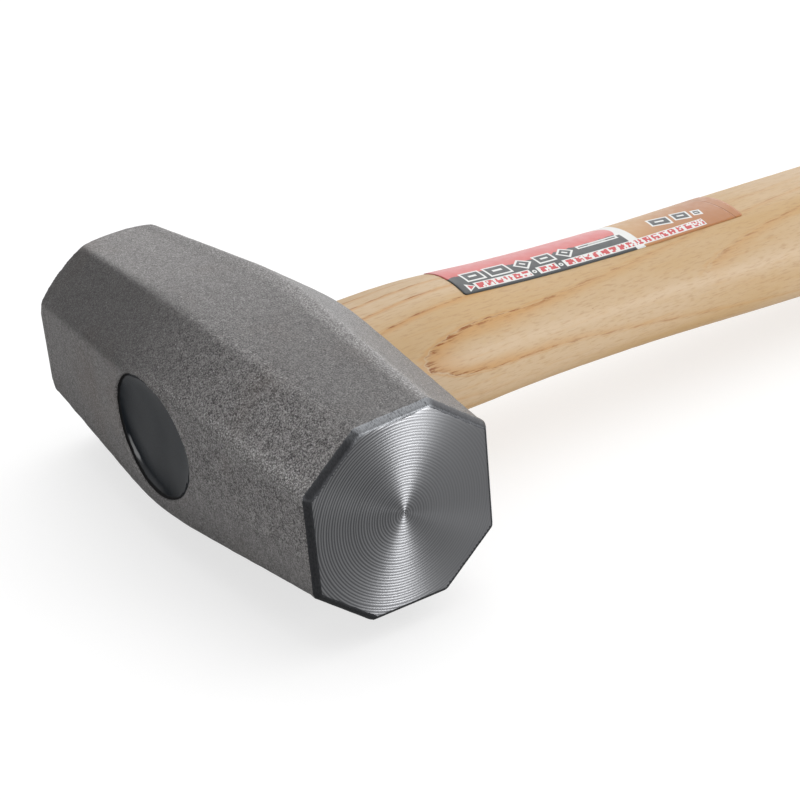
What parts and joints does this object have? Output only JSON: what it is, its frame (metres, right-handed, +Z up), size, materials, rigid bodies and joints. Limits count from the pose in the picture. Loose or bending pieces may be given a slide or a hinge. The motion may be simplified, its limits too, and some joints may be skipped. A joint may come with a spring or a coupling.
{
  "type": "lump hammer",
  "caption": "Short-handled lump hammer: octagonal double-faced steel head tapering to turned striking faces, on an oval ash handle wedged and resin-sealed in the eye.",
  "frame": {"origin": "on the bench that the hammer lies on, under the middle of its bounding box", "axes": "+Y along the handle from the head to the butt, +X along the head square to a striking face, +Z up with the hammer lying on its side"},
  "size_m": [0.1076, 0.29, 0.0467],
  "materials": {
    "forged_steel": "sand-blasted forged skin, with turned striking faces",
    "ash": "pale ash, sanded and clear lacquered",
    "wedge_wood": "plain sawn hardwood",
    "wedge_steel": "plain mild steel",
    "resin": "glossy dark slate casting resin",
    "label_film": "printed plastic film, red and dark grey bands"
  },
  "bodies": {
    "root": {"head": "forged_steel", "handle": "ash", "wood_wedge": "wedge_wood", "steel_wedge": "wedge_steel", "resin_plug": "resin", "label": "label_film"}
  },
  "joints": []
}
